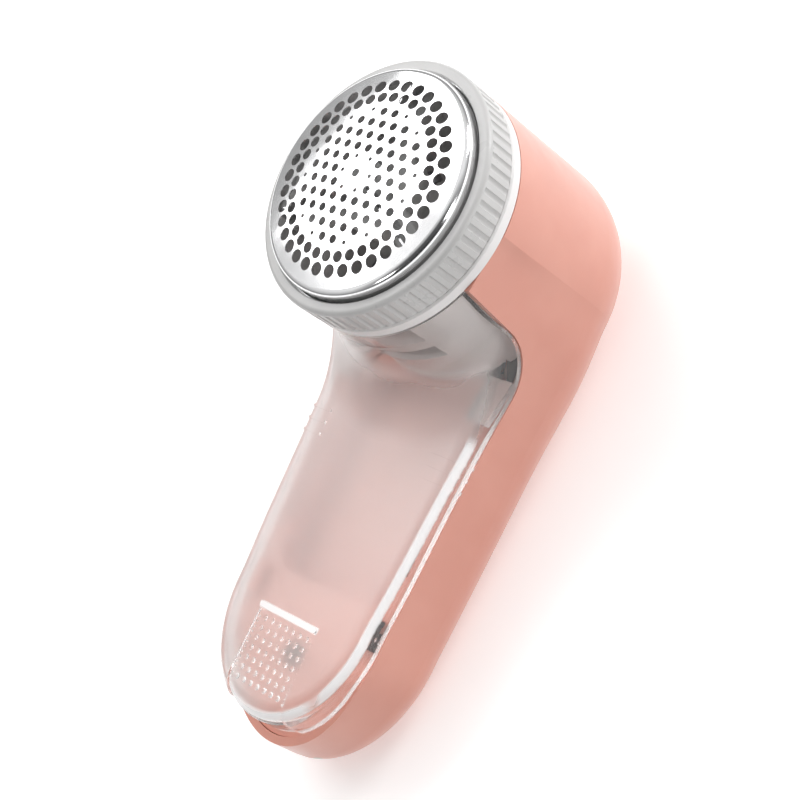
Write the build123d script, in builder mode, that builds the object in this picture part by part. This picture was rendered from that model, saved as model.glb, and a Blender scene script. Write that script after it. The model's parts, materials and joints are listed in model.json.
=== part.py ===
"""A rechargeable fabric shaver lying on its back, in millimetres.

The flat back of the body lies on Z = 0. +Z points out of the shaving foil, +Y runs from the
end of the handle to the head, and X = 0 is the plane of symmetry. The head's axis is
parallel to Z, and heights along it are the Z values below.
"""

from build123d import *
import math
import os

os.makedirs("parts", exist_ok=True)

# ---------------------------------------------------------------- driving dimensions
head_r = 30.6               # radius of the round head
tip_reach = 119.0           # from the head's axis to the end of the handle
head_y = (tip_reach - head_r) / 2
collar_z = 55.5             # top of the moulded body, where the cutter housing's collar sits
collar_top_z = 58.4
handle_front_z = 31.6       # flat front of the lint box
end_start = 88.0            # below this distance from the head's axis the plan is half an ellipse
box_end = 28.3              # the lint box's end ellipse, along the handle
front_draft = 1.4           # the side walls lean in by this much over their height
flare_r = 16.5              # concave sweep from the neck to the flat front
front_round = 5.0           # rounding of the lint box's front edges

shell_wall = 2.0
box_wall = 1.8
part_gap = 0.3              # between the moving lint box and the body

# distance below the head's axis, half width, rounding of the back edge
stations = [
    (0, 30.6, 20.0), (10, 30.1, 18.0), (20, 29.1, 16.2), (32, 27.5, 14.8), (46, 26.3, 13.6),
    (62, 25.4, 12.6), (78, 24.5, 11.8), (84, 24.0, 11.3), (end_start, 23.8, 11.0),
]
neck_depth = 17             # down to here the top of the side walls follows the round neck

pod_r = 28.3                # the cutter housing's chamber, seen inside the clear neck
pod_low_z = 25.5
pod_wall = 2.0
spigot_r = 28.7             # the screw ring turns on this
spigot_bore_r = 25.9
spigot_top_z = 65.0
chamber_floor_z = 36.5
motor_seat_z = 41.0         # the motor's front face
motor_plate = 2.0

foil_t = 0.3
bend_r = 25.9               # where the foil's face runs into its rounded edge
foil_peak_z = 73.19
dome_r = 111.6              # sphere of the foil's face
foil_edge_r = 1.7
brim_r = 28.6
ring_front_z = 67.3
ring_low_z = 58.7
ring_bore_r = 29.0
ring_lip_r = 27.7
knurl_count = 70
knurl_r = 0.85              # radius of one groove
knurl_offset = 0.35         # of its centre outside the ring's surface

panel_floor_z = 18.5
panel_low_z = 17.0
land_z = 25.0               # top of the front panel's edges
shaft_r = 1.0
motor_r = 12.0
motor_low_z = 15.0

head_axis = Axis((0, head_y, 0), (0, 0, 1))
reach = 80.0                # half size of the blocks that trim the body's forms


def along(distance):
    """Y of a point this far below the head's axis."""
    return head_y - distance


def write(piece, name):
    piece.label = name
    export_step(piece, f"parts/{name}.step")


# ---------------------------------------------------------------- forms shared by several parts
def cross_section(distance, half_width, back_r, inset):
    """The body's section across the handle, with its back corners rounded."""
    in_neck = distance < neck_depth
    draft = 0 if distance == 0 else front_draft
    top_width = half_width - draft
    if in_neck:
        top_width = math.sqrt(head_r**2 - distance**2)
    plane = Plane(origin=(0, along(distance), 0), x_dir=(1, 0, 0), z_dir=(0, -1, 0))
    top = (top_width - inset, collar_z)
    low = (half_width - inset, back_r)
    with BuildSketch(plane) as section:
        with BuildLine():
            if in_neck and distance > 0:
                Spline(top, low, tangents=((0, -1), (0, -1)))
            else:
                Line(top, low)
            CenterArc((half_width - back_r, back_r), back_r - inset, 0, -90)
            Line((half_width - back_r, inset), (back_r - half_width, inset))
            CenterArc((back_r - half_width, back_r), back_r - inset, -90, -90)
            if in_neck and distance > 0:
                Spline((-low[0], low[1]), (-top[0], top[1]), tangents=((0, 1), (0, 1)))
            else:
                Line((-low[0], low[1]), (-top[0], top[1]))
            Line((-top[0], top[1]), top)
        make_face()
    return section.sketch


def half_profile(half_width, top_width, back_r, inset):
    """Half of a section, to be revolved into the head or the end of the handle."""
    with BuildSketch(Plane(origin=(0, 0, 0), x_dir=(1, 0, 0), z_dir=(0, -1, 0))) as profile:
        with BuildLine():
            Line((0, collar_z), (top_width - inset, collar_z))
            Line((top_width - inset, collar_z), (half_width - inset, back_r))
            CenterArc((half_width - back_r, back_r), back_r - inset, 0, -90)
            Line((half_width - back_r, inset), (0, inset))
            Line((0, inset), (0, collar_z))
        make_face()
    return profile.sketch


def body_form(inset, end_length):
    """The whole body's outer form, moved inwards by inset, with an end of this length."""
    end_distance, end_width, end_back_r = stations[-1]
    head_width, head_back_r = stations[0][1:]
    end_profile = half_profile(end_width, end_width - front_draft, end_back_r, inset)
    head_profile = half_profile(head_width, head_width, head_back_r, inset)
    sections = [cross_section(*station, inset) for station in stations]

    with BuildPart() as end:
        add(end_profile)
        revolve(axis=Axis.Z, revolution_arc=-180)
    stretch = (end_length - inset) / (end_width - inset)
    stretched_end = scale(end.part, (1, stretch, 1))

    with BuildPart() as form:
        add(sections)
        loft()
        add(head_profile.moved(Location((0, head_y, 0))))
        revolve(axis=head_axis, revolution_arc=180)
        with Locations((0, along(end_distance), 0)):
            add(stretched_end)
    return form.part


def parting_side(shift):
    """The space behind the parting line between the shell and the lint box."""
    top = (along(12.9) - shift, 60)
    elbow = (along(16.8) - shift, 27.4 + shift)
    handle_end = (along(98) - shift, 25.2 + shift)
    tip = (along(124) - shift, 18.8 + shift)
    with BuildPart() as block:
        with BuildSketch(Plane.YZ):
            with BuildLine():
                FilletPolyline(top, elbow, handle_end, tip, radius=13)
                Polyline(tip, (tip[0], -5), (along(-40), -5), (along(-40), 60), top)
            make_face()
        extrude(amount=reach, both=True)
    return block.part


def neck_envelope(inset, top_z):
    """The round neck, its concave sweep and the flat front, as one revolved and one flat block."""
    neck = head_r - inset
    sweep = flare_r + inset
    front = handle_front_z - inset
    with BuildPart() as envelope:
        with BuildSketch(Plane(origin=(0, head_y, 0), x_dir=(1, 0, 0), z_dir=(0, -1, 0))):
            with BuildLine():
                Polyline((0, 0), (0, top_z), (neck, top_z), (neck, front + sweep))
                CenterArc((neck + sweep, front + sweep), sweep, 180, 90)
                Polyline((neck + sweep, front), (neck + sweep, 0), (0, 0))
            make_face()
        revolve(axis=head_axis)
        with BuildSketch(Plane.XY):
            Rectangle(2 * reach, 4 * reach)
        extrude(amount=front)
    return envelope.part


def front_edges(part, inset):
    """The long edges round the flat front, from the neck's sweep to the end of the handle."""
    low = handle_front_z - inset - 0.2
    edges = part.edges().filter_by(lambda e: low < e.center().Z < collar_z - 0.6)
    return edges.filter_by(lambda e: e.center().Y < along(16))


def box_form(inset, top_z):
    """The lint box's outer form, or with an inset the space inside it."""
    form = body_form(inset, box_end)
    envelope = neck_envelope(inset, top_z)
    with BuildPart() as rounded:
        add(form)
        add(envelope, mode=Mode.INTERSECT)
        fillet(front_edges(rounded.part, inset), front_round - inset)
    return rounded.part


# ---------------------------------------------------------------- rear shell
post_ring_r = 20.2          # the four posts that carry the cutter housing
post_angles = (40, 140, -30, -150)
post_r = 3.0
screw_r = 1.2
screw_hole_r = 1.25
panel_screw_at = 98.5       # distance below the head's axis
panel_post_r = 3.6
board_top_z = 8.6
board_t = 1.2
board_post_x = 6.2
board_post_at = 87.0
board_post_r = 2.0
switch_at = 13.0            # middle of the switch recess on the back
recess_width = 13.0
recess_length = 17.0
recess_depth = 1.7
switch_slot_width = 3.6
switch_slot_length = 8.6
port_width = 9.6
port_height = 3.8
port_z = 10.25
pipe_x = 7.2
pipe_r = 1.1
body_end = tip_reach - end_start

post_spots_from_axis = [
    (post_ring_r * math.cos(math.radians(a)), post_ring_r * math.sin(math.radians(a)))
    for a in post_angles
]
post_spots = [(x, head_y + y) for x, y in post_spots_from_axis]
board_spots = [(board_post_x, along(board_post_at)), (-board_post_x, along(board_post_at))]
end_plane = Plane(origin=(0, along(tip_reach + 2), 0), x_dir=(-1, 0, 0), z_dir=(0, 1, 0))

outer_body = body_form(0, body_end)
inner_body = body_form(shell_wall, body_end)
behind_parting = parting_side(0)

with BuildPart() as shell_cavity:
    add(inner_body)
    with BuildSketch(Plane.XY):
        with Locations(*post_spots):
            Circle(post_r)
    extrude(amount=chamber_floor_z - pod_wall, mode=Mode.SUBTRACT)
    with BuildSketch(Plane.XY):
        with Locations((0, along(panel_screw_at))):
            Circle(panel_post_r)
    extrude(amount=panel_low_z, mode=Mode.SUBTRACT)
    with BuildSketch(Plane.XY):
        with Locations(*board_spots):
            Circle(board_post_r)
    extrude(amount=board_top_z - board_t, mode=Mode.SUBTRACT)
    with BuildSketch(Plane.XY):
        with Locations((0, along(switch_at))):
            RectangleRounded(recess_width + 4, recess_length + 4, 3)
    extrude(amount=recess_depth + 1.8, mode=Mode.SUBTRACT)

with BuildPart() as rear_shell:
    add(outer_body)
    add(behind_parting, mode=Mode.INTERSECT)
    add(shell_cavity.part, mode=Mode.SUBTRACT)
    with BuildSketch(Plane(origin=(0, head_y, pod_low_z - 1))):
        Circle(head_r - shell_wall)
        with Locations(*post_spots_from_axis):
            Circle(post_r, mode=Mode.SUBTRACT)
    extrude(amount=collar_z, mode=Mode.SUBTRACT)
    with BuildSketch(Plane.XY):
        with Locations((0, along(switch_at))):
            RectangleRounded(recess_width, recess_length, 2.5)
    extrude(amount=recess_depth, mode=Mode.SUBTRACT)
    with BuildSketch(Plane.XY):
        with Locations((0, along(switch_at))):
            Rectangle(switch_slot_width, switch_slot_length)
    extrude(amount=6, mode=Mode.SUBTRACT)
    with BuildSketch(Plane.XY.offset(chamber_floor_z)):
        with Locations(*post_spots):
            Circle(screw_hole_r)
    extrude(amount=-14, mode=Mode.SUBTRACT)
    with BuildSketch(Plane.XY.offset(panel_low_z)):
        with Locations((0, along(panel_screw_at))):
            Circle(screw_hole_r)
    extrude(amount=-11, mode=Mode.SUBTRACT)
    with BuildSketch(Plane.XY.offset(board_top_z)):
        with Locations(*board_spots):
            Circle(0.75)
    extrude(amount=-5, mode=Mode.SUBTRACT)
    with BuildSketch(end_plane):
        with Locations((0, port_z)):
            SlotOverall(port_width, port_height)
        with Locations((-pipe_x, port_z)):
            Circle(pipe_r + 0.05)
    extrude(amount=14, mode=Mode.SUBTRACT)
write(rear_shell.part, "rear_shell")

# ---------------------------------------------------------------- front panel
tray_half = 18.0
tray_top_at = 30.5
tray_low_at = 82.0
groove_x = 19.8             # middle of the lint box's straight guide grooves
groove_width = 1.6
groove_top_at = 21.5
groove_low_at = 72.0
block_from = 82.6           # raised blocks that carry the two box catches
block_to = 90.0
block_in_x = 17.8
block_out_x = 20.2
block_top_z = 27.6

panel_body = body_form(shell_wall + 0.15, body_end)
below_panel_top = parting_side(-0.4)

with BuildPart() as panel_outline:
    add(panel_body)
    add(below_panel_top, mode=Mode.INTERSECT)
    with BuildSketch(Plane.XY.offset(panel_low_z)):
        with Locations((0, along(tip_reach / 2 + 14))):
            Rectangle(2 * reach, tip_reach - 20)
    extrude(amount=land_z - panel_low_z, mode=Mode.INTERSECT)

tray_length = tray_low_at - tray_top_at
groove_length = groove_low_at - groove_top_at
block_middle = (block_from + block_to) / 2

with BuildPart() as front_panel:
    add(panel_outline.part)
    with BuildSketch(Plane.XY.offset(panel_floor_z)):
        with Locations((0, along((tray_top_at + tray_low_at) / 2))):
            RectangleRounded(2 * tray_half, tray_length, 6)
    extrude(amount=20, mode=Mode.SUBTRACT)
    with BuildSketch(Plane.XY.offset(panel_low_z + 4)):
        with Locations((groove_x, along((groove_top_at + groove_low_at) / 2)),
                       (-groove_x, along((groove_top_at + groove_low_at) / 2))):
            Rectangle(groove_width, groove_length)
    extrude(amount=20, mode=Mode.SUBTRACT)
    with BuildSketch(Plane.XY.offset(panel_floor_z)):
        with Locations(((block_in_x + block_out_x) / 2, along(block_middle)),
                       (-(block_in_x + block_out_x) / 2, along(block_middle))):
            Rectangle(block_out_x - block_in_x, block_to - block_from)
    extrude(amount=block_top_z - panel_floor_z)
    with BuildSketch(Plane.XY):
        with Locations((0, along(panel_screw_at))):
            Circle(1.5)
    extrude(amount=reach / 2, mode=Mode.SUBTRACT)
    with BuildSketch(Plane.XY.offset(land_z - 1.9)):
        with Locations((0, along(panel_screw_at))):
            Circle(3.1)
    extrude(amount=5, mode=Mode.SUBTRACT)
write(front_panel.part, "front_panel")

# ---------------------------------------------------------------- lint box
rib_ats = (44.8, 47.8, 50.8)
rib_width = 0.7
rib_height = 0.35
rib_start_x = 17.0
pad_half = 9.7              # the thumb pad sunk into the front near the end of the handle
pad_top_at = 92.4
pad_depth = 0.6
bar_at = 91.4
bar_width = 1.5
bar_height = 0.7
dot_pitch = 2.4
dot_r = 0.75
dot_rise = 0.5
runner_t = 1.0
runner_from = 24.0
runner_to = 35.0
runner_low_z = 21.8
web_low_z = 27.6
web_top_z = 29.0
bead_r = 0.3
bead_pitch = 1.25

neck_top_z = collar_z - part_gap
box_outside = box_form(0, neck_top_z)
box_inside = box_form(box_wall, collar_z + 1)
pad_above = box_form(-1.0, neck_top_z)
pad_floor = box_form(pad_depth, neck_top_z)
rib_tops = box_form(-rib_height, neck_top_z)
box_parting = parting_side(part_gap)

with BuildPart() as pad_cut:
    add(pad_above)
    with BuildSketch(Plane.XY.offset(handle_front_z / 2)):
        with Locations((0, along(pad_top_at + 20))):
            Rectangle(2 * pad_half, 40)
    extrude(amount=reach / 2, mode=Mode.INTERSECT)
    add(pad_floor, mode=Mode.SUBTRACT)

with BuildPart() as grip_ribs:
    add(rib_tops)
    with BuildSketch(Plane.XY):
        for at in rib_ats:
            with Locations((rib_start_x + 10, along(at)), (-rib_start_x - 10, along(at))):
                Rectangle(20, rib_width)
    extrude(amount=reach / 2, mode=Mode.INTERSECT)

with BuildPart() as bin_space:
    add(box_inside)
    with BuildSketch(Plane.XY.offset(web_low_z)):
        for side in (1, -1):
            inner = groove_x - runner_t / 2
            with Locations((side * (inner + 7), along((runner_from + runner_to) / 2))):
                Rectangle(14, runner_to - runner_from)
    extrude(amount=web_top_z - web_low_z, mode=Mode.SUBTRACT)

dots_middle = pad_top_at + 1.6 + 3 * dot_pitch
pad_floor_z = handle_front_z - pad_depth

with BuildPart() as lint_box:
    add(box_outside)
    add(grip_ribs.part)
    add(pad_cut.part, mode=Mode.SUBTRACT)
    add(bin_space.part, mode=Mode.SUBTRACT)
    add(box_parting, mode=Mode.SUBTRACT)
    with BuildSketch(Plane.XY.offset(runner_low_z)):
        for side in (1, -1):
            with Locations((side * groove_x, along((runner_from + runner_to) / 2))):
                Rectangle(runner_t, runner_to - runner_from)
    extrude(amount=web_top_z - runner_low_z)
    with BuildSketch(Plane.XY.offset(pad_floor_z - 0.2)):
        with Locations((0, along(bar_at))):
            SlotOverall(2 * pad_half, bar_width)
    extrude(amount=pad_depth + bar_height + 0.2)
    with Locations(Location((0, along(dots_middle), pad_floor_z - dot_r + dot_rise))):
        with GridLocations(dot_pitch, dot_pitch, 7, 7):
            Sphere(dot_r)
    bead_length = 13 * bead_pitch
    with Locations(Location((0, along(pad_top_at + 1.2 + bead_length / 2), pad_floor_z))):
        with GridLocations(2 * pad_half - 0.9, bead_pitch, 2, 13):
            Sphere(bead_r)
write(lint_box.part, "lint_box")

# ---------------------------------------------------------------- cutter housing
boss_r = 14.2
boss_bore_r = motor_r + 0.15
window_half_angle = 32
window_top_z = 53.2
bar_top_z = 46.8
bar_low_z = 43.6
window_low_z = 38.0
scoop_low_z = 29.0
scoop_depth = 0.6
bar_inset = 0.4
motor_screw_x = 8.0
shaft_boss_r = 3.0


def window_sector(inner_r):
    """The part of the chamber's wall that faces the lint box, from inner_r outwards."""
    across = 50 * math.sin(math.radians(window_half_angle))
    down = -50 * math.cos(math.radians(window_half_angle))
    with BuildSketch() as sector:
        Polygon((0, 0), (-across, down), (0, -60), (across, down), align=None)
        Circle(inner_r, mode=Mode.SUBTRACT)
    return sector.sketch


window_outline = window_sector(boss_r + 3)
scoop_outline = window_sector(pod_r - scoop_depth)

with BuildPart() as window_cut:
    with BuildSketch(Plane(origin=(0, head_y, window_low_z))):
        add(window_outline)
    extrude(amount=window_top_z - window_low_z)
    with BuildSketch(Plane(origin=(0, head_y, bar_low_z))):
        Circle(pod_r - bar_inset)
        Circle(pod_r - pod_wall, mode=Mode.SUBTRACT)
    extrude(amount=bar_top_z - bar_low_z, mode=Mode.SUBTRACT)
with BuildPart() as scoop_cut:
    with BuildSketch(Plane(origin=(0, head_y, scoop_low_z))):
        add(scoop_outline)
    extrude(amount=window_low_z - scoop_low_z)

with BuildPart() as cutter_housing:
    with BuildSketch(Plane(origin=(0, head_y, 0), x_dir=(1, 0, 0), z_dir=(0, -1, 0))):
        with BuildLine():
            Polyline((pod_r - pod_wall, pod_low_z), (pod_r - 1.2, pod_low_z))
            CenterArc((pod_r - 1.2, pod_low_z + 1.2), 1.2, -90, 90)
            Polyline((pod_r, pod_low_z + 1.2), (pod_r, collar_z), (head_r - 0.3, collar_z),
                     (head_r - 0.1, collar_z + 0.2), (head_r - 0.1, collar_top_z - 0.4),
                     (head_r - 0.5, collar_top_z), (spigot_r, collar_top_z),
                     (spigot_r, spigot_top_z - 0.5), (spigot_r - 0.5, spigot_top_z),
                     (spigot_bore_r, spigot_top_z), (spigot_bore_r, collar_z),
                     (pod_r - pod_wall, collar_z - 1),
                     (pod_r - pod_wall, chamber_floor_z),
                     (boss_r, chamber_floor_z),
                     (boss_r, motor_seat_z + motor_plate - 1),
                     (boss_r - 1, motor_seat_z + motor_plate),
                     (shaft_boss_r + 0.15, motor_seat_z + motor_plate),
                     (shaft_boss_r + 0.15, motor_seat_z), (boss_bore_r, motor_seat_z),
                     (boss_bore_r, pod_low_z + 2), (boss_r, pod_low_z + 2),
                     (boss_r, chamber_floor_z - pod_wall),
                     (pod_r - pod_wall, chamber_floor_z - pod_wall),
                     (pod_r - pod_wall, pod_low_z))
        make_face()
    revolve(axis=head_axis)
    with BuildSketch(Plane.XY.offset(chamber_floor_z)):
        with Locations(*post_spots):
            Circle(1.5)
    extrude(amount=-3, mode=Mode.SUBTRACT)
    with BuildSketch(Plane(origin=(0, head_y, motor_seat_z + motor_plate))):
        with Locations((motor_screw_x, 0), (-motor_screw_x, 0)):
            Circle(screw_hole_r)
    extrude(amount=-3, mode=Mode.SUBTRACT)
    add(window_cut.part, mode=Mode.SUBTRACT)
    add(scoop_cut.part, mode=Mode.SUBTRACT)
write(cutter_housing.part, "cutter_housing")

# ---------------------------------------------------------------- screw ring
ring_plane = Plane(origin=(0, head_y, 0), x_dir=(1, 0, 0), z_dir=(0, -1, 0))
lip_low_z = 65.6
ring_round = 1.2
knurl_top_z = 66.2

with BuildPart() as screw_ring:
    with BuildSketch(ring_plane):
        with BuildLine():
            Polyline((ring_bore_r, ring_low_z), (head_r - 0.4, ring_low_z),
                     (head_r, ring_low_z + 0.4), (head_r, ring_front_z - ring_round))
            CenterArc((head_r - ring_round, ring_front_z - ring_round), ring_round, 0, 90)
            Polyline((head_r - ring_round, ring_front_z), (ring_lip_r + 0.3, ring_front_z),
                     (ring_lip_r, ring_front_z - 0.3), (ring_lip_r, lip_low_z),
                     (ring_bore_r, lip_low_z), (ring_bore_r, ring_low_z))
        make_face()
    revolve(axis=head_axis)
    with BuildSketch(Plane(origin=(0, head_y, ring_low_z))):
        with PolarLocations(head_r + knurl_offset, knurl_count):
            Circle(knurl_r)
    extrude(amount=knurl_top_z - ring_low_z, mode=Mode.SUBTRACT)
write(screw_ring.part, "screw_ring")

# ---------------------------------------------------------------- foil
dome_z = foil_peak_z - dome_r             # height of the centre of the face's sphere
brim_bend = 0.4
brim_low_z = spigot_top_z + 0.05
outer_holes = 36
outer_hole_r = 1.5
outer_ring_r = 22.0
second_hole_r = 1.3
second_ring_r = 18.9
grid_pitch = 3.48
grid_hole_r = 1.0
small_hole_r = 0.5
inner_small_r = 4.3
grid_shells = (0, 3, 4, 7, 9, 12, 13, 16, 19)
small_shell = 21


def dome_height(radius, drop=0.0):
    """Height of the foil's face, or of a face this far below it."""
    return dome_z + math.sqrt((dome_r - drop) ** 2 - radius**2)


def grid_sites(shells):
    """Points of a triangular grid whose squared distance, in pitches, is one of the shells."""
    sites = []
    for i in range(-6, 7):
        for j in range(-6, 7):
            if i * i + i * j + j * j in shells:
                sites.append((grid_pitch * (i + j / 2), grid_pitch * j * math.sqrt(3) / 2))
    return sites


bend_z = dome_height(bend_r)
with BuildPart() as foil:
    with BuildSketch(ring_plane):
        with BuildLine():
            slope = math.asin(bend_r / dome_r)
            corner_x = bend_r - foil_edge_r * math.sin(slope)
            corner_z = bend_z - foil_edge_r * math.cos(slope)
            wall_x = corner_x + foil_edge_r
            start = (0, foil_peak_z)
            ThreePointArc(start, (bend_r / 2, dome_height(bend_r / 2)), (bend_r, bend_z))
            CenterArc((corner_x, corner_z), foil_edge_r, 90 - math.degrees(slope),
                      math.degrees(slope) - 90)
            Polyline((wall_x, corner_z), (wall_x, brim_low_z + foil_t + brim_bend))
            CenterArc((wall_x + brim_bend, brim_low_z + foil_t + brim_bend), brim_bend, 180, 90)
            Polyline((wall_x + brim_bend, brim_low_z + foil_t), (brim_r, brim_low_z + foil_t),
                     (brim_r, brim_low_z), (wall_x - foil_t, brim_low_z),
                     (wall_x - foil_t, corner_z))
            CenterArc((corner_x, corner_z), foil_edge_r - foil_t, 0, 90 - math.degrees(slope))
            inner_bend = ((bend_r - foil_t * math.sin(slope)), bend_z - foil_t * math.cos(slope))
            ThreePointArc(inner_bend, (bend_r / 2, dome_height(bend_r / 2, foil_t)),
                          (0, foil_peak_z - foil_t))
            Line((0, foil_peak_z - foil_t), start)
        make_face()
    revolve(axis=head_axis)
    with BuildSketch(Plane(origin=(0, head_y, spigot_top_z + 2))):
        with PolarLocations(outer_ring_r, outer_holes):
            Circle(outer_hole_r)
        with PolarLocations(second_ring_r, outer_holes, start_angle=180 / outer_holes):
            Circle(second_hole_r)
        with Locations(*grid_sites(grid_shells)):
            Circle(grid_hole_r)
        with Locations(*grid_sites((small_shell,))):
            Circle(small_hole_r)
        with PolarLocations(inner_small_r, 6):
            Circle(small_hole_r)
    extrude(amount=10, mode=Mode.SUBTRACT)
write(foil.part, "foil")

# ---------------------------------------------------------------- cutter
arm_count = 3
arm_width = 5.0
arm_reach = 24.2
arm_low_z = 60.0
arm_top_z = 65.5
hub_r = 4.5
hub_low_z = 45.8
hub_top_z = 70.5
blade_t = 0.5
blade_in_r = 4.0
blade_out_r = 24.8
blade_low_z = 62.0
blade_gap = 0.5             # from the blades' edges to the inside of the foil

with BuildPart() as cutter_blades:
    for arm in range(arm_count):
        turn = 90 + arm * 360 / arm_count
        plane = Plane(origin=(0, head_y, 0), x_dir=(math.cos(math.radians(turn)),
                      math.sin(math.radians(turn)), 0),
                      z_dir=(math.sin(math.radians(turn)), -math.cos(math.radians(turn)), 0))
        with BuildSketch(plane):
            with BuildLine():
                drop = foil_t + blade_gap
                middle_r = (blade_in_r + blade_out_r) / 2
                ThreePointArc((blade_in_r, dome_height(blade_in_r, drop)),
                              (middle_r, dome_height(middle_r, drop)),
                              (blade_out_r, dome_height(blade_out_r, drop)))
                Polyline((blade_out_r, dome_height(blade_out_r, drop)),
                         (blade_out_r, blade_low_z + 2), (blade_out_r - 2, blade_low_z),
                         (blade_in_r, blade_low_z), (blade_in_r, dome_height(blade_in_r, drop)))
            make_face()
        extrude(amount=blade_t / 2, both=True)
write(cutter_blades.part, "cutter_blades")

with BuildPart() as cutter_hub:
    with BuildSketch(Plane(origin=(0, head_y, hub_low_z))):
        Circle(hub_r)
    extrude(amount=hub_top_z - hub_low_z)
    with BuildSketch(Plane(origin=(0, head_y, arm_low_z))):
        Circle(10)
        with PolarLocations(arm_reach / 2, arm_count, start_angle=90):
            SlotOverall(arm_reach + 2, arm_width)
    extrude(amount=arm_top_z - arm_low_z)
    chamfer(cutter_hub.faces().sort_by(Axis.Z)[-1].edges(), 0.6)
    with BuildSketch(Plane(origin=(0, head_y, hub_low_z - 1))):
        Circle(shaft_r + 0.02)
    extrude(amount=14, mode=Mode.SUBTRACT)
    add(cutter_blades.part, mode=Mode.SUBTRACT)
write(cutter_hub.part, "cutter_hub")

# ---------------------------------------------------------------- motor
can_wall = 1.0
bush_r = 2.4
bush_gap = 0.03
end_cap_low_z = 12.5
armature_low_z = 20.0
armature_top_z = 35.0
armature_r = 8.3
commutator_low_z = 16.2

with BuildPart() as motor_can:
    with BuildSketch(ring_plane):
        with BuildLine():
            Polyline((motor_r - can_wall, motor_low_z), (motor_r, motor_low_z),
                     (motor_r, motor_seat_z - 0.8), (motor_r - 0.8, motor_seat_z),
                     (shaft_boss_r, motor_seat_z), (shaft_boss_r, motor_seat_z + motor_plate),
                     (bush_r, motor_seat_z + motor_plate), (bush_r, motor_seat_z - can_wall),
                     (motor_r - can_wall, motor_seat_z - can_wall),
                     (motor_r - can_wall, motor_low_z))
        make_face()
    revolve(axis=head_axis)
    with BuildSketch(Plane(origin=(0, head_y, motor_seat_z + 1))):
        with Locations((motor_screw_x, 0), (-motor_screw_x, 0)):
            Circle(screw_hole_r)
    extrude(amount=-4, mode=Mode.SUBTRACT)
write(motor_can.part, "motor_can")

with BuildPart() as motor_end_cap:
    with BuildSketch(Plane(origin=(0, head_y, end_cap_low_z))):
        Circle(motor_r - 0.1)
        Circle(bush_r, mode=Mode.SUBTRACT)
    extrude(amount=motor_low_z - end_cap_low_z)
    chamfer(motor_end_cap.faces().sort_by(Axis.Z)[0].outer_wire().edges(), 0.8)
    with BuildSketch(Plane(origin=(0, head_y, end_cap_low_z - 1))):
        with Locations((6, 0), (-6, 0)):
            Rectangle(0.7, 2.6)
    extrude(amount=10, mode=Mode.SUBTRACT)
write(motor_end_cap.part, "motor_end_cap")

with BuildPart() as motor_terminals:
    with BuildSketch(Plane(origin=(0, head_y, end_cap_low_z - 3))):
        with Locations((6, 0), (-6, 0)):
            Rectangle(0.5, 2.4)
    extrude(amount=motor_low_z - end_cap_low_z + 3)
write(motor_terminals.part, "motor_terminals")

with BuildPart() as motor_bushes:
    with BuildSketch(Plane(origin=(0, head_y, motor_seat_z - can_wall))):
        Circle(bush_r)
        Circle(shaft_r + bush_gap, mode=Mode.SUBTRACT)
    extrude(amount=motor_plate + can_wall)
    with BuildSketch(Plane(origin=(0, head_y, end_cap_low_z))):
        Circle(bush_r)
        Circle(shaft_r + bush_gap, mode=Mode.SUBTRACT)
    extrude(amount=motor_low_z - end_cap_low_z)
write(motor_bushes.part, "motor_bushes")

with BuildPart() as motor_magnets:
    with BuildSketch(Plane(origin=(0, head_y, armature_low_z - 1))):
        Circle(motor_r - can_wall - 0.05)
        Circle(armature_r + 0.6, mode=Mode.SUBTRACT)
        Rectangle(7, 2 * motor_r, mode=Mode.SUBTRACT)
    extrude(amount=armature_top_z - armature_low_z + 2)
write(motor_magnets.part, "motor_magnets")

with BuildPart() as motor_shaft:
    with BuildSketch(Plane(origin=(0, head_y, end_cap_low_z - 1.2))):
        Circle(shaft_r)
    extrude(amount=hub_low_z + 12 - end_cap_low_z)
write(motor_shaft.part, "motor_shaft")

with BuildPart() as motor_armature:
    with BuildSketch(Plane(origin=(0, head_y, armature_low_z))):
        Circle(armature_r)
        Circle(armature_r - 1.2, mode=Mode.SUBTRACT)
        with PolarLocations(armature_r, 3):
            Rectangle(3, 1.6, rotation=90, mode=Mode.SUBTRACT)
        Circle(3)
        with PolarLocations(armature_r / 2, 3, start_angle=60):
            Rectangle(armature_r - 1, 2.4)
        Circle(shaft_r, mode=Mode.SUBTRACT)
    extrude(amount=armature_top_z - armature_low_z)
write(motor_armature.part, "motor_armature")

with BuildPart() as motor_windings:
    for side in (-1, 1):
        for pole in range(3):
            turn = math.radians(60 + 120 * pole)
            with BuildSketch(Plane(origin=(0, head_y, armature_low_z - 0.8),
                                   x_dir=(math.cos(turn), math.sin(turn), 0))):
                with Locations((5.0, side * 1.95)):
                    Rectangle(2.6, 1.3)
            extrude(amount=armature_top_z - armature_low_z + 1.6)
write(motor_windings.part, "motor_windings")

with BuildPart() as motor_commutator:
    with BuildSketch(Plane(origin=(0, head_y, commutator_low_z))):
        Circle(2.5)
        Circle(shaft_r, mode=Mode.SUBTRACT)
    extrude(amount=armature_low_z - 1 - commutator_low_z)
write(motor_commutator.part, "motor_commutator")

with BuildPart() as shaft_seal:
    with BuildSketch(Plane(origin=(0, head_y, motor_seat_z + motor_plate))):
        Circle(5.5)
        Circle(shaft_r + 0.1, mode=Mode.SUBTRACT)
    extrude(amount=1.4)
    fillet(shaft_seal.faces().sort_by(Axis.Z)[-1].outer_wire().edges(), 0.5)
write(shaft_seal.part, "shaft_seal")


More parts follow.
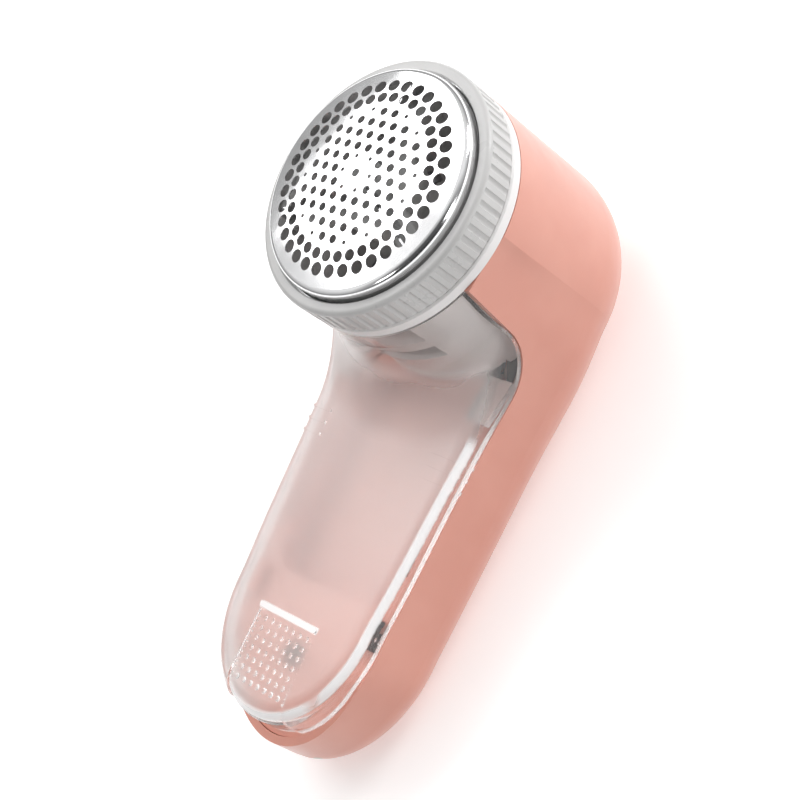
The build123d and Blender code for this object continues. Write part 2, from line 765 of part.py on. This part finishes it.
# ---------------------------------------------------------------- screws
def pan_screws(spots, seat_z, head_radius, head_height, shank_radius, length):
    """Cross-slotted pan-head screws standing on seat_z, pointing down, one solid each."""
    with BuildPart() as screws:
        for x, y in spots:
            with BuildSketch(Plane(origin=(x, y, seat_z))):
                Circle(head_radius)
            extrude(amount=head_height)
            with BuildSketch(Plane(origin=(x, y, seat_z))):
                Circle(shank_radius)
            extrude(amount=-length)
        heads = screws.edges().filter_by(GeomType.CIRCLE)
        top = seat_z + head_height
        fillet(heads.filter_by(lambda e: e.center().Z > top - 0.01), head_height * 0.45)
        for x, y in spots:
            with BuildSketch(Plane(origin=(x, y, top))):
                Rectangle(head_radius * 1.2, head_radius * 0.24)
                Rectangle(head_radius * 0.24, head_radius * 1.2)
            extrude(amount=-head_height * 0.5, mode=Mode.SUBTRACT)
    return screws.part


motor_spots = [(motor_screw_x, head_y), (-motor_screw_x, head_y)]
motor_screws = pan_screws(motor_spots, motor_seat_z + motor_plate, 2.0, 1.4, 1.1, 3.2)
write(motor_screws, "motor_screws")
housing_screws = pan_screws(post_spots, chamber_floor_z, 2.5, 1.8, screw_r, 12.0)
write(housing_screws, "housing_screws")
panel_spot = [(0, along(panel_screw_at))]
panel_screw = pan_screws(panel_spot, land_z - 1.9, 2.7, 1.7, screw_r, 12.0)
write(panel_screw, "panel_screw")
board_screws = pan_screws(board_spots, board_top_z, 1.6, 1.0, 0.7, 5.0)
write(board_screws, "board_screws")

# ---------------------------------------------------------------- battery
cell_r = 6.9
cell_z = 9.7
cell_from = 30.4
cell_to = 80.4
cradle_half = 8.6
cradle_end = 1.2
strip_t = 0.4

with BuildPart() as battery_cell:
    with BuildSketch(Plane(origin=(0, along(cell_to), cell_z), z_dir=(0, 1, 0))):
        Circle(cell_r)
    extrude(amount=cell_to - cell_from - 1)
    fillet(battery_cell.edges().filter_by(GeomType.CIRCLE), 0.6)
    with BuildSketch(Plane(origin=(0, along(cell_from + 1.2), cell_z), z_dir=(0, 1, 0))):
        Circle(2.7)
    extrude(amount=1.2)
write(battery_cell.part, "battery_cell")

with BuildPart() as battery_contacts:
    for distance in (cell_from, cell_to + strip_t):
        with BuildSketch(Plane(origin=(0, along(distance), cell_z), z_dir=(0, 1, 0))):
            RectangleRounded(9, 9, 1)
        extrude(amount=strip_t)
write(battery_contacts.part, "battery_contacts")

cradle_from = cell_from - strip_t - cradle_end
cradle_to = cell_to + strip_t + cradle_end
with BuildPart() as battery_cradle:
    with BuildSketch(Plane.XY.offset(shell_wall + 0.1)):
        with Locations((0, along((cradle_from + cradle_to) / 2))):
            Rectangle(2 * cradle_half, cradle_to - cradle_from)
    extrude(amount=cell_z + 1 - shell_wall)
    with BuildSketch(Plane(origin=(0, along(cell_to + strip_t), cell_z), x_dir=(-1, 0, 0),
                           z_dir=(0, 1, 0))):
        Circle(cell_r + 0.1)
        with Locations((0, 5)):
            Rectangle(2 * cell_r + 0.2, 10)
    extrude(amount=cell_to - cell_from + 2 * strip_t, mode=Mode.SUBTRACT)
write(battery_cradle.part, "battery_cradle")

# ---------------------------------------------------------------- electronics
board_half = 8.0
board_from = 84.0
board_to = 114.6
board_nose_half = 4.5
board_taper_at = 109.0
jack_width = 8.94
jack_height = 3.26
jack_wall = 0.3
jack_mouth_at = tip_reach - 0.8
jack_length = 7.3
led_at = 107.4

with BuildPart() as circuit_board:
    with BuildSketch(Plane.XY.offset(board_top_z - board_t)):
        with BuildLine():
            Polyline((-board_half, along(board_from)), (board_half, along(board_from)),
                     (board_half, along(board_taper_at)), (board_nose_half, along(board_to)),
                     (-board_nose_half, along(board_to)), (-board_half, along(board_taper_at)),
                     (-board_half, along(board_from)))
        make_face()
        with Locations((0, along(panel_screw_at))):
            Circle(panel_post_r + 0.3, mode=Mode.SUBTRACT)
        with Locations(*board_spots):
            Circle(0.8, mode=Mode.SUBTRACT)
    extrude(amount=board_t)
write(circuit_board.part, "circuit_board")

# x, distance below the head's axis, width, length, height of each component
components = [
    (0.0, 89.2, 4.0, 4.0, 1.0), (-3.6, 93.0, 2.0, 1.2, 0.8), (5.6, 103.6, 3.4, 3.4, 2.0),
    (-5.4, 103.8, 3.0, 4.8, 1.5), (5.8, 92.4, 1.6, 3.0, 0.9), (-6.3, 98.0, 1.4, 2.6, 1.0),
    (0.0, 105.6, 3.2, 1.6, 0.6),
]
with BuildPart() as board_components:
    for x, distance, width, length, height in components:
        with BuildSketch(Plane.XY.offset(board_top_z)):
            with Locations((x, along(distance))):
                Rectangle(width, length)
        extrude(amount=height)
write(board_components.part, "board_components")

with BuildPart() as charge_jack:
    with BuildSketch(Plane(origin=(0, along(jack_mouth_at), port_z), x_dir=(1, 0, 0),
                           z_dir=(0, 1, 0))):
        SlotOverall(jack_width, jack_height)
    extrude(amount=jack_length)
    with BuildSketch(Plane(origin=(0, along(jack_mouth_at), port_z), x_dir=(1, 0, 0),
                           z_dir=(0, 1, 0))):
        SlotOverall(jack_width - 2 * jack_wall, jack_height - 2 * jack_wall)
        Rectangle(6.2, 0.7, mode=Mode.SUBTRACT)
    extrude(amount=jack_length - 1, mode=Mode.SUBTRACT)
write(charge_jack.part, "charge_jack")

with BuildPart() as charge_led:
    with BuildSketch(Plane.XY.offset(board_top_z)):
        with Locations((pipe_x - 0.4, along(led_at))):
            Rectangle(1.6, 1.0)
    extrude(amount=1.2)
write(charge_led.part, "charge_led")

with BuildPart() as light_pipe:
    with BuildSketch(Plane(origin=(pipe_x, along(tip_reach + 1), port_z), z_dir=(0, 1, 0))):
        Circle(pipe_r)
    extrude(amount=tip_reach - led_at)
    add(outer_body, mode=Mode.INTERSECT)
write(light_pipe.part, "light_pipe")

# ---------------------------------------------------------------- switch
switch_travel = 4.0
switch_rest_at = switch_at + switch_travel / 2
switch_low_z = recess_depth + 1.8
button_low_z = 0.4
button_top_z = 1.5
button_width = 9.0
button_length = 11.0
lever_half = 1.4
lever_length = 3.6
lever_top_z = 6.0

with BuildPart() as switch_body:
    with BuildSketch(Plane.XY.offset(switch_low_z)):
        with Locations((0, along(switch_at))):
            Rectangle(8, 14)
    extrude(amount=5)
    with BuildSketch(Plane.XY.offset(switch_low_z)):
        with Locations((0, along(switch_at))):
            Rectangle(2 * lever_half + 0.8, switch_slot_length)
    extrude(amount=lever_top_z - switch_low_z + 0.5, mode=Mode.SUBTRACT)
write(switch_body.part, "switch_body")

with BuildPart() as switch_button:
    with BuildSketch(Plane.XY.offset(button_low_z)):
        with Locations((0, along(switch_rest_at))):
            RectangleRounded(button_width, button_length, 2)
    extrude(amount=button_top_z - button_low_z)
    fillet(switch_button.faces().sort_by(Axis.Z)[0].edges(), 0.35)
    with BuildSketch(Plane.XY.offset(button_low_z)):
        for row in (-1, 0, 1):
            with Locations((0, along(switch_rest_at) + 2 * row)):
                SlotOverall(6, 0.8)
    extrude(amount=0.35, mode=Mode.SUBTRACT)
write(switch_button.part, "switch_button")

with BuildPart() as switch_lever:
    with BuildSketch(Plane.XY.offset(button_top_z)):
        with Locations((0, along(switch_rest_at))):
            Rectangle(2 * lever_half, lever_length)
    extrude(amount=lever_top_z - button_top_z)
write(switch_lever.part, "switch_lever")

# ---------------------------------------------------------------- lint box catches
catch_t = 0.7
catch_x = block_out_x + catch_t / 2
with BuildPart() as box_catches:
    for side in (1, -1):
        with BuildSketch(Plane(origin=(side * catch_x, 0, 0), x_dir=(0, 1, 0), z_dir=(1, 0, 0))):
            with BuildLine():
                Polyline((along(90.0), land_z), (along(85.6), land_z), (along(85.6), 25.9),
                         (along(84.4), 25.9), (along(84.4), 25.5), (along(83.0), 25.5),
                         (along(83.0), 27.1), (along(85.0), 27.1), (along(85.0), 26.7),
                         (along(87.0), 26.7), (along(87.0), 26.3), (along(90.0), 26.3),
                         (along(90.0), land_z))
            make_face()
        extrude(amount=catch_t / 2, both=True)
write(box_catches.part, "box_catches")


# ---------------------------------------------------------------- leads
lead_r = 0.55


def lead(points, bend):
    """One insulated lead along straight runs joined by arcs."""
    with BuildPart() as wire:
        with BuildLine() as route:
            FilletPolyline(*points, radius=bend)
        with BuildSketch(Plane(origin=route.line @ 0, z_dir=route.line % 0)):
            Circle(lead_r)
        sweep()
    return wire.part


cell_lead = lead([(3, along(29.0), 14.4), (3, along(25.0), 14.4), (3, along(22.0), 8.6),
                  (3, along(20.2), 7.4)], 2.0)
motor_lead = lead([(6, along(1.6), 9.4), (6, along(3.4), 8.2), (4.6, along(8.0), 7.0)], 1.5)

with BuildPart() as red_leads:
    add(cell_lead)
    add(motor_lead)
write(red_leads.part, "red_leads")
black_lead = lead([(-6, along(1.6), 9.4), (-6, along(8), 8.0), (-11.5, along(24), 8.6),
                   (-11.5, along(83), 8.6), (-7.4, along(90.4), 9.4)], 3.0)
write(black_lead, "black_lead")
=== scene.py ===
"""The fabric shaver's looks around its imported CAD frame, in metres."""

import json
import math

import bpy
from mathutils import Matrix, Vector


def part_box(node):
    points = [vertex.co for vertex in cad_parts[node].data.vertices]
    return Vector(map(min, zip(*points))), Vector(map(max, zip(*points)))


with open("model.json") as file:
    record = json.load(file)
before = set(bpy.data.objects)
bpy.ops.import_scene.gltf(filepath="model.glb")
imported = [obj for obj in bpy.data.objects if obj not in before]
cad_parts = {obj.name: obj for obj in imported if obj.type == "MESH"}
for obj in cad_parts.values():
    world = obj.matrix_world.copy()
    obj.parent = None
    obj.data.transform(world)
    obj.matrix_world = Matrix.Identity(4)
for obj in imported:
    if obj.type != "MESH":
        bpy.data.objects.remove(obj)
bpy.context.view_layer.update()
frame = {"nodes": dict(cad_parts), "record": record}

MM = 0.001
nodes = frame["nodes"]


# ---------------------------------------------------------------- places worked out from the frame
def corners(name):
    low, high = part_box(name)
    return Vector(low), Vector(high)


foil_low, foil_high = corners("foil")
body_low, body_high = corners("rear_shell")
head_centre = Vector(((foil_low.x + foil_high.x) / 2, (foil_low.y + foil_high.y) / 2, 0))
head_radius = (body_high.x - body_low.x) / 2
box_low, box_high = corners("lint_box")
box_half = (box_high.x - box_low.x) / 2
PAD_BAR_AT = 91.4 * MM      # the thumb pad's bar, below the head's axis
PAD_HALF = 9.7 * MM         # half its length
FROST_REACH = 16 * MM       # the frosting thickens over this distance, down from the neck
FRONT_Z = 31.6 * MM         # flat front of the lint box


# ---------------------------------------------------------------- camera
SENSOR_WIDTH = 36           # millimetres, as is the lens
LENS = 88.64
CAMERA_PLACE = (0.30920, -0.03495, 0.34956)
CAMERA_TURN = (27.197, 36.500, 32.982)   # degrees


def add_camera():
    data = bpy.data.cameras.new("camera")
    data.lens = LENS
    data.sensor_width = SENSOR_WIDTH
    data.clip_start = 0.01
    camera = bpy.data.objects.new("camera", data)
    camera.location = CAMERA_PLACE
    camera.rotation_euler = [math.radians(a) for a in CAMERA_TURN]
    bpy.context.collection.objects.link(camera)
    bpy.context.scene.camera = camera


add_camera()


# ---------------------------------------------------------------- node helpers
def new_material(name):
    material = bpy.data.materials.new(name)
    material.use_nodes = True
    tree = material.node_tree
    return material, tree, tree.nodes["Principled BSDF"]


def texture_space(tree, scale=(1, 1, 1)):
    """Object coordinates in metres, which stay on the piece when it moves."""
    coords = tree.nodes.new("ShaderNodeTexCoord")
    mapping = tree.nodes.new("ShaderNodeMapping")
    mapping.inputs["Scale"].default_value = scale
    tree.links.new(coords.outputs["Object"], mapping.inputs["Vector"])
    return mapping.outputs["Vector"]


def noise(tree, vector, size, detail=3.0, rough=0.5):
    """Noise with features of this size in metres."""
    node = tree.nodes.new("ShaderNodeTexNoise")
    node.inputs["Scale"].default_value = 1 / size
    node.inputs["Detail"].default_value = detail
    node.inputs["Roughness"].default_value = rough
    tree.links.new(vector, node.inputs["Vector"])
    return node.outputs["Fac"]


def between(tree, value, low, high, low_out, high_out):
    node = tree.nodes.new("ShaderNodeMapRange")
    node.inputs["From Min"].default_value = low
    node.inputs["From Max"].default_value = high
    node.inputs["To Min"].default_value = low_out
    node.inputs["To Max"].default_value = high_out
    tree.links.new(value, node.inputs["Value"])
    return node.outputs["Result"]


def calculate(tree, operation, first, second=None):
    node = tree.nodes.new("ShaderNodeMath")
    node.operation = operation
    tree.links.new(first, node.inputs[0])
    if second is not None:
        tree.links.new(second, node.inputs[1])
    return node.outputs["Value"]


def blend_colours(tree, value, first, second):
    node = tree.nodes.new("ShaderNodeMix")
    node.data_type = "RGBA"
    tree.links.new(value, node.inputs["Factor"])
    node.inputs["A"].default_value = (*first, 1)
    node.inputs["B"].default_value = (*second, 1)
    return node.outputs["Result"]


def band(tree, value, rise, peak, fall, end):
    """One between peak and fall, and zero outside rise and end."""
    up = between(tree, value, rise, peak, 0, 1)
    down = between(tree, value, fall, end, 1, 0)
    return calculate(tree, "MULTIPLY", up, down)


def blend_values(tree, factor, first, second):
    """A number that goes from first to second with the factor."""
    node = tree.nodes.new("ShaderNodeMix")
    node.data_type = "FLOAT"
    tree.links.new(factor, node.inputs["Factor"])
    for socket, value in (("A", first), ("B", second)):
        if isinstance(value, (int, float)):
            node.inputs[socket].default_value = value
        else:
            tree.links.new(value, node.inputs[socket])
    return node.outputs["Result"]


def bump(tree, shader, height, strength, distance):
    node = tree.nodes.new("ShaderNodeBump")
    node.inputs["Strength"].default_value = strength
    node.inputs["Distance"].default_value = distance
    tree.links.new(height, node.inputs["Height"])
    tree.links.new(node.outputs["Normal"], shader.inputs["Normal"])


def moulded(name, colour, shade, rough, grain=0.35 * MM, grain_depth=0.012 * MM, coat=0.0,
            metallic=0.0, stretch=(1, 1, 1)):
    """A moulded, coated or machined surface: two close colours, uneven gloss and a fine grain."""
    material, tree, shader = new_material(name)
    vector = texture_space(tree, stretch)
    broad = noise(tree, vector, 14 * MM, 2)
    fine = noise(tree, vector, grain, 4, 0.6)
    tint = blend_colours(tree, between(tree, broad, 0.35, 0.65, 0, 1), colour, shade)
    tree.links.new(tint, shader.inputs["Base Color"])
    gloss = between(tree, noise(tree, vector, 4 * MM, 3), 0.3, 0.7, rough[0], rough[1])
    tree.links.new(gloss, shader.inputs["Roughness"])
    shader.inputs["Metallic"].default_value = metallic
    shader.inputs["Coat Weight"].default_value = coat
    shader.inputs["Coat Roughness"].default_value = 0.12
    bump(tree, shader, fine, 0.35, grain_depth)
    return material


# ---------------------------------------------------------------- materials
def pink_material(name, colour, shade):
    material = moulded(name, colour, shade, (0.30, 0.40), 0.30 * MM, 0.006 * MM, coat=0.6)
    shader = material.node_tree.nodes["Principled BSDF"]
    shader.inputs["Coat Roughness"].default_value = 0.30
    shader.inputs["Subsurface Weight"].default_value = 0.08
    shader.inputs["Subsurface Radius"].default_value = (0.004, 0.002, 0.0015)
    shader.inputs["Subsurface Scale"].default_value = 0.3
    return material


def foil_material():
    """Bright drawn steel: mirror polish with very fine concentric polishing lines."""
    material, tree, shader = new_material("foil_steel")
    coords = tree.nodes.new("ShaderNodeTexCoord")
    centred = tree.nodes.new("ShaderNodeVectorMath")
    centred.operation = "SUBTRACT"
    centred.inputs[1].default_value = (head_centre.x, head_centre.y, 0)
    tree.links.new(coords.outputs["Object"], centred.inputs[0])
    rings = tree.nodes.new("ShaderNodeTexWave")
    rings.wave_type = "RINGS"
    rings.rings_direction = "Z"
    rings.inputs["Scale"].default_value = 900
    rings.inputs["Distortion"].default_value = 2.5
    rings.inputs["Detail"].default_value = 2
    rings.inputs["Detail Scale"].default_value = 1.5
    tree.links.new(centred.outputs["Vector"], rings.inputs["Vector"])
    smear = noise(tree, centred.outputs["Vector"], 9 * MM, 3)
    shader.inputs["Metallic"].default_value = 1.0
    tint = blend_colours(tree, smear, (0.95, 0.95, 0.955), (0.90, 0.90, 0.91))
    tree.links.new(tint, shader.inputs["Base Color"])
    tree.links.new(between(tree, smear, 0.3, 0.7, 0.10, 0.17), shader.inputs["Roughness"])
    bump(tree, shader, rings.outputs["Fac"], 0.10, 0.004 * MM)
    return material


def clear_material():
    """Polycarbonate: a frosted front, clear walls, and a painted highlight: whiter, less clear
    corners and thumb pad bar.

    Lamps shine straight through it.
    """
    material, tree, shader = new_material("clear_box")
    coords = tree.nodes.new("ShaderNodeTexCoord")
    vector = coords.outputs["Object"]
    place = tree.nodes.new("ShaderNodeSeparateXYZ")
    tree.links.new(vector, place.inputs["Vector"])
    facing = tree.nodes.new("ShaderNodeSeparateXYZ")
    tree.links.new(coords.outputs["Normal"], facing.inputs["Vector"])
    upward = calculate(tree, "ABSOLUTE", facing.outputs["Z"])
    along = place.outputs["Y"]
    neck = head_centre.y - head_radius

    half_width = between(tree, along, box_low.y, neck, 0.80 * box_half, box_half)
    out = calculate(tree, "ABSOLUTE", place.outputs["X"])
    rim = calculate(tree, "DIVIDE", out, half_width)
    at_side = between(tree, rim, 0.66, 0.74, 0, 1)
    at_end = between(tree, along, box_low.y + 11 * MM, box_low.y + 7 * MM, 0, 1)
    below_neck = between(tree, along, neck - 7.5 * MM, neck - 10.5 * MM, 0, 1)
    edge = calculate(tree, "MULTIPLY", calculate(tree, "MAXIMUM", at_side, at_end), below_neck)
    # painted highlight: a white, barely clear band along the rounded front corners, standing in
    # for their bright reflection
    painted_corner_highlight = calculate(tree, "MULTIPLY", band(tree, upward, 0.45, 0.53, 0.78, 0.85), edge)

    # painted highlight: the top of the thumb pad's raised bar is coloured white, as if lit
    bar_y = head_centre.y - PAD_BAR_AT
    bar = band(tree, along, bar_y - 1.0 * MM, bar_y - 0.6 * MM, bar_y + 0.6 * MM, bar_y + 1.0 * MM)
    on_pad = between(tree, out, PAD_HALF, PAD_HALF + 0.3 * MM, 1, 0)
    outer_face = between(tree, place.outputs["Z"], FRONT_Z - 0.5 * MM, FRONT_Z - 0.3 * MM, 0, 1)
    painted_bar_highlight = calculate(tree, "MULTIPLY", calculate(tree, "MULTIPLY", bar, on_pad), outer_face)
    # where the painted highlight lies: the corners and the thumb pad bar
    painted_highlight = calculate(tree, "MAXIMUM", painted_corner_highlight, painted_bar_highlight)

    cloud = between(tree, noise(tree, vector, 12 * MM, 2), 0.3, 0.7, 0.9, 1.1)
    front = between(tree, upward, 0.25, 0.75, 0, 1)
    frost_along = between(tree, along, neck, neck - FROST_REACH, 0.30, 0.42)
    frost = calculate(tree, "MULTIPLY", frost_along, cloud)
    rough = blend_values(tree, front, 0.06, frost)
    tree.links.new(blend_values(tree, painted_highlight, rough, 0.22), shader.inputs["Roughness"])
    front_pass = between(tree, along, neck, box_low.y, 0.74, 0.93)
    wall_pass = blend_values(tree, front, 0.97, front_pass)
    passes = blend_values(tree, painted_highlight, wall_pass, 0.15)
    tree.links.new(passes, shader.inputs["Transmission Weight"])
    # the painted highlight turns the base colour white
    tint = blend_colours(tree, painted_highlight, (0.84, 0.815, 0.805), (1.0, 1.0, 1.0))
    tree.links.new(tint, shader.inputs["Base Color"])
    shader.inputs["IOR"].default_value = 1.40
    bump(tree, shader, noise(tree, vector, 0.5 * MM, 3), 0.08, 0.01 * MM)
    passing = tree.nodes.new("ShaderNodeBsdfTransparent")
    passing.inputs["Color"].default_value = (0.93, 0.92, 0.92, 1)
    paths = tree.nodes.new("ShaderNodeLightPath")
    mixed = tree.nodes.new("ShaderNodeMixShader")
    output = tree.nodes["Material Output"]
    tree.links.new(paths.outputs["Is Shadow Ray"], mixed.inputs["Fac"])
    tree.links.new(shader.outputs["BSDF"], mixed.inputs[1])
    tree.links.new(passing.outputs["BSDF"], mixed.inputs[2])
    tree.links.new(mixed.outputs["Shader"], output.inputs["Surface"])
    return material


pink = (0.66, 0.285, 0.215)
pink_shade = (0.63, 0.262, 0.195)
finishes = {
    "pink_shell": pink_material("pink_shell", pink, pink_shade),
    "pink_panel": pink_material("pink_panel", pink, pink_shade),
    "grey_housing": moulded("grey_housing", (0.78, 0.765, 0.76), (0.75, 0.735, 0.73),
                            (0.32, 0.42)),
    "ring_white": moulded("ring_white", (0.54, 0.535, 0.53), (0.51, 0.505, 0.50), (0.26, 0.36)),
    "foil_steel": foil_material(),
    "clear_box": clear_material(),
    "hub_white": moulded("hub_white", (0.70, 0.70, 0.69), (0.66, 0.66, 0.65), (0.35, 0.5)),
    "blade_steel": moulded("blade_steel", (0.60, 0.60, 0.61), (0.52, 0.52, 0.53), (0.18, 0.32),
                           0.15 * MM, 0.01 * MM, metallic=1.0, stretch=(1, 1, 0.15)),
    "motor_steel": moulded("motor_steel", (0.55, 0.55, 0.56), (0.48, 0.48, 0.49), (0.28, 0.45),
                           metallic=1.0),
    "brass_parts": moulded("brass_parts", (0.70, 0.50, 0.22), (0.60, 0.42, 0.18), (0.22, 0.38),
                           metallic=1.0),
    "copper_wire": moulded("copper_wire", (0.65, 0.26, 0.11), (0.52, 0.18, 0.07), (0.25, 0.4),
                           0.25 * MM, 0.08 * MM, metallic=1.0, stretch=(1, 1, 4)),
    "magnet_ferrite": moulded("magnet_ferrite", (0.07, 0.07, 0.075), (0.045, 0.045, 0.05),
                              (0.5, 0.7)),
    "seal_rubber": moulded("seal_rubber", (0.03, 0.03, 0.03), (0.02, 0.02, 0.02), (0.6, 0.8)),
    "screw_steel": moulded("screw_steel", (0.58, 0.58, 0.6), (0.48, 0.48, 0.5), (0.22, 0.4),
                           metallic=1.0),
    "screw_dark": moulded("screw_dark", (0.10, 0.06, 0.055), (0.06, 0.035, 0.03), (0.3, 0.5),
                          metallic=0.6),
    "battery_wrap": moulded("battery_wrap", (0.05, 0.16, 0.34), (0.04, 0.13, 0.29), (0.2, 0.32)),
    "nickel_strip": moulded("nickel_strip", (0.66, 0.64, 0.60), (0.56, 0.54, 0.5), (0.2, 0.35),
                            metallic=1.0, stretch=(0.2, 1, 1)),
    "board_green": moulded("board_green", (0.015, 0.14, 0.05), (0.01, 0.10, 0.035), (0.3, 0.45)),
    "component_black": moulded("component_black", (0.02, 0.02, 0.02), (0.035, 0.035, 0.035),
                               (0.45, 0.65)),
    "led_clear": moulded("led_clear", (0.82, 0.82, 0.78), (0.72, 0.72, 0.66), (0.12, 0.25)),
    "dark_plastic": moulded("dark_plastic", (0.045, 0.045, 0.045), (0.03, 0.03, 0.03),
                            (0.4, 0.6)),
    "catch_dark": moulded("catch_dark", (0.035, 0.025, 0.025), (0.06, 0.04, 0.035), (0.3, 0.5),
                          metallic=0.5),
    "red_insulation": moulded("red_insulation", (0.45, 0.02, 0.015), (0.36, 0.015, 0.01),
                              (0.35, 0.5)),
    "black_insulation": moulded("black_insulation", (0.02, 0.02, 0.02), (0.03, 0.03, 0.03),
                                (0.35, 0.5)),
}

slot_of = {part["node"]: part["material_slot"] for part in frame["record"]["subparts"]}
for name, piece in nodes.items():
    for slot in piece.material_slots:
        slot.material = finishes[slot_of[name]]


# ---------------------------------------------------------------- stage and light
FLOOR_HALF = 3.0            # metres from the middle of the floor to its sides
FLOOR_DROP = 0.1 * MM       # below the part, so that the two faces don't meet
SHADED_SIDE = (0.72, -0.45, 0.53)   # the world's light fades to a tenth towards here


def add_floor():
    mesh = bpy.data.meshes.new("floor")
    half = FLOOR_HALF
    low = -FLOOR_DROP
    mesh.from_pydata([(-half, -half, low), (half, -half, low), (half, half, low),
                      (-half, half, low)], [], [(0, 1, 2, 3)])
    floor = bpy.data.objects.new("floor", mesh)
    bpy.context.collection.objects.link(floor)
    material, tree, shader = new_material("floor_paper")
    vector = texture_space(tree)
    tint = blend_colours(tree, noise(tree, vector, 0.3, 2), (0.95, 0.95, 0.95), (0.93, 0.93, 0.93))
    tree.links.new(tint, shader.inputs["Base Color"])
    shader.inputs["Roughness"].default_value = 0.9
    shader.inputs["Emission Color"].default_value = (1, 1, 1, 1)
    shader.inputs["Emission Strength"].default_value = 0.30
    mesh.materials.append(material)


def area_light(name, place, target, size, watts, colour=(1, 1, 1)):
    data = bpy.data.lights.new(name, "AREA")
    data.shape = "RECTANGLE"
    data.size, data.size_y = size
    data.energy = watts
    data.color = colour
    light = bpy.data.objects.new(name, data)
    light.location = place
    light.rotation_euler = (Vector(target) - Vector(place)).to_track_quat("-Z", "Y").to_euler()
    bpy.context.collection.objects.link(light)


add_floor()
centre = (0, 0, 0.03)
area_light("key", (-0.60, 0.30, 0.75), centre, (0.9, 0.7), 5.0)
area_light("front", (0.25, -0.75, 0.55), centre, (0.25, 0.25), 0.7)
area_light("side", (0.35, 0.90, 0.35), centre, (0.3, 0.5), 4.5)
area_light("right", (0.95, 0.15, 0.40), centre, (0.25, 0.5), 2.2)

world = bpy.data.worlds.new("studio")
world.use_nodes = True
sky = world.node_tree
direction = sky.nodes.new("ShaderNodeTexCoord")
height = sky.nodes.new("ShaderNodeSeparateXYZ")
sky.links.new(direction.outputs["Generated"], height.inputs["Vector"])
dim = sky.nodes.new("ShaderNodeVectorMath")
dim.operation = "DOT_PRODUCT"
dim.inputs[1].default_value = SHADED_SIDE
sky.links.new(direction.outputs["Generated"], dim.inputs[0])
overhead = between(sky, height.outputs["Z"], 0.05, 0.75, 0.20, 0.85)
shaded = between(sky, dim.outputs["Value"], 0.45, 0.85, 1.0, 0.10)
sky.links.new(calculate(sky, "MULTIPLY", overhead, shaded),
              sky.nodes["Background"].inputs["Strength"])
sky.nodes["Background"].inputs["Color"].default_value = (1, 1, 1, 1)
bpy.context.scene.world = world
bpy.context.scene.view_settings.view_transform = "Standard"
